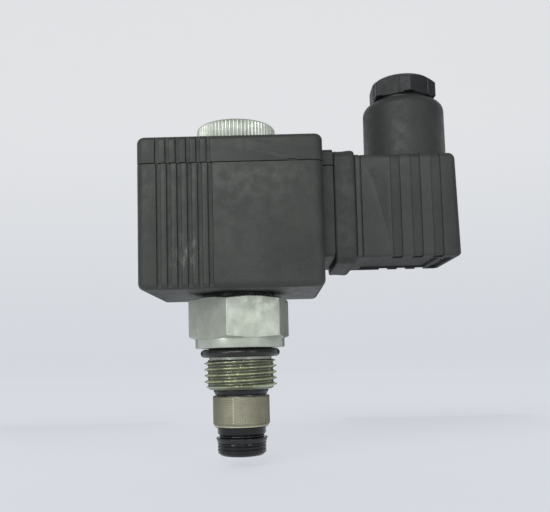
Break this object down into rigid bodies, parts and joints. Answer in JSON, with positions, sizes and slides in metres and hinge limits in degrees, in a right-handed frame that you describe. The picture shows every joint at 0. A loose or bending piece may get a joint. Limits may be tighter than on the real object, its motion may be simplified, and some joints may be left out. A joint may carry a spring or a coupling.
{
  "type": "cartridge valve",
  "caption": "Screw-in hydraulic solenoid cartridge valve with hexagon body, square moulded coil, knurled coil nut and plug connector with cable gland.",
  "frame": {"origin": "on the valve axis in the plane of the collar's underside, the face that seats on the cavity", "axes": "+Z along the valve axis towards the coil nut, +X towards the plug connector, -Y towards the viewer of the grooved broad face"},
  "size_m": [0.0797, 0.039, 0.0985],
  "materials": {
    "plated_steel": "zinc plated, satin",
    "thread_steel": "zinc plated thread, greenish yellow tint",
    "core_steel": "turned, satin",
    "spring_steel": "drawn wire",
    "cage_metal": "black oxide, oiled",
    "screen_mesh": "fine woven wire, khaki tint",
    "coil_plastic": "moulded glass-filled nylon, fine matt grain, light scuffs",
    "connector_plastic": "moulded nylon, fine matt grain",
    "gasket_rubber": "profile gasket rubber, slightly dusty",
    "seal_rubber": "nitrile rubber, oiled",
    "bobbin_plastic": "natural nylon",
    "copper": "enamelled copper wire",
    "yoke_steel": "soft iron strip",
    "blade_tin": "tinned brass",
    "brass": "turned brass",
    "block_plastic": "moulded nylon",
    "nut_zinc": "zinc plated, bright"
  },
  "bodies": {
    "valve": {"valve_body": "plated_steel", "body_face_seal": "seal_rubber", "guide_tube": "core_steel", "pole_piece": "core_steel", "guide_tube_seal": "seal_rubber", "cage": "cage_metal", "cage_seal": "seal_rubber", "filter_screen": "screen_mesh", "nose_oring": "seal_rubber", "nose_backup_ring": "seal_rubber", "valve_seat": "core_steel"},
    "poppet": {"main_poppet": "core_steel", "poppet_spring": "spring_steel"},
    "armature": {"armature": "core_steel", "pilot_pin": "core_steel", "armature_spring": "spring_steel"},
    "coil": {"coil_housing": "coil_plastic", "coil_cap": "coil_plastic", "bobbin": "bobbin_plastic", "copper_winding": "copper", "yoke_frame": "yoke_steel", "flux_washer": "yoke_steel", "terminal_blades": "blade_tin", "earth_blade": "blade_tin", "threaded_insert": "brass", "coil_seal_lower": "seal_rubber", "coil_seal_upper": "seal_rubber"},
    "coil_nut": {"coil_nut": "nut_zinc"},
    "connector": {"connector_gasket": "gasket_rubber", "connector_housing": "connector_plastic", "terminal_block": "block_plastic", "contact_sleeves": "brass", "clamp_screws": "plated_steel", "fixing_screw_seal": "seal_rubber", "cable_seal": "seal_rubber", "gland_washer": "blade_tin"},
    "fixing_screw": {"fixing_screw": "plated_steel"},
    "gland_screw": {"gland_screw": "connector_plastic"}
  },
  "joints": [
    {"name": "armature_stroke", "type": "slide", "parent": "valve", "child": "armature", "axis": [0, 0, 1], "range_m": [0, 0.0016], "stiffness_N_per_m": 1500, "springref_m": -0.003, "deforming": ["armature_spring"]},
    {"name": "poppet_stroke", "type": "slide", "parent": "valve", "child": "poppet", "axis": [0, 0, 1], "range_m": [0, 0.0012], "deforming": ["poppet_spring"]},
    {"name": "coil_swivel", "type": "hinge", "parent": "valve", "child": "coil", "pos_m": [0, 0, 0.03], "axis": [0, 0, -1], "continuous": true},
    {"name": "coil_nut_turn", "type": "hinge", "parent": "valve", "child": "coil_nut", "pos_m": [0, 0, 0.0552], "axis": [0, 0, 1], "continuous": true},
    {"name": "connector_pull", "type": "slide", "parent": "coil", "child": "connector", "axis": [1, 0, 0], "range_m": [0, 0.018]},
    {"name": "fixing_screw_turn", "type": "hinge", "parent": "connector", "child": "fixing_screw", "pos_m": [0.045, 0, 0.02535], "axis": [1, 0, 0], "continuous": true},
    {"name": "gland_screw_turn", "type": "hinge", "parent": "connector", "child": "gland_screw", "pos_m": [0.04535, 0, 0.064], "axis": [0, 0, 1], "continuous": true}
  ],
  "couplings": [
    {"joint": "poppet_stroke", "follows": "armature_stroke", "ratio": 0.75}
  ]
}
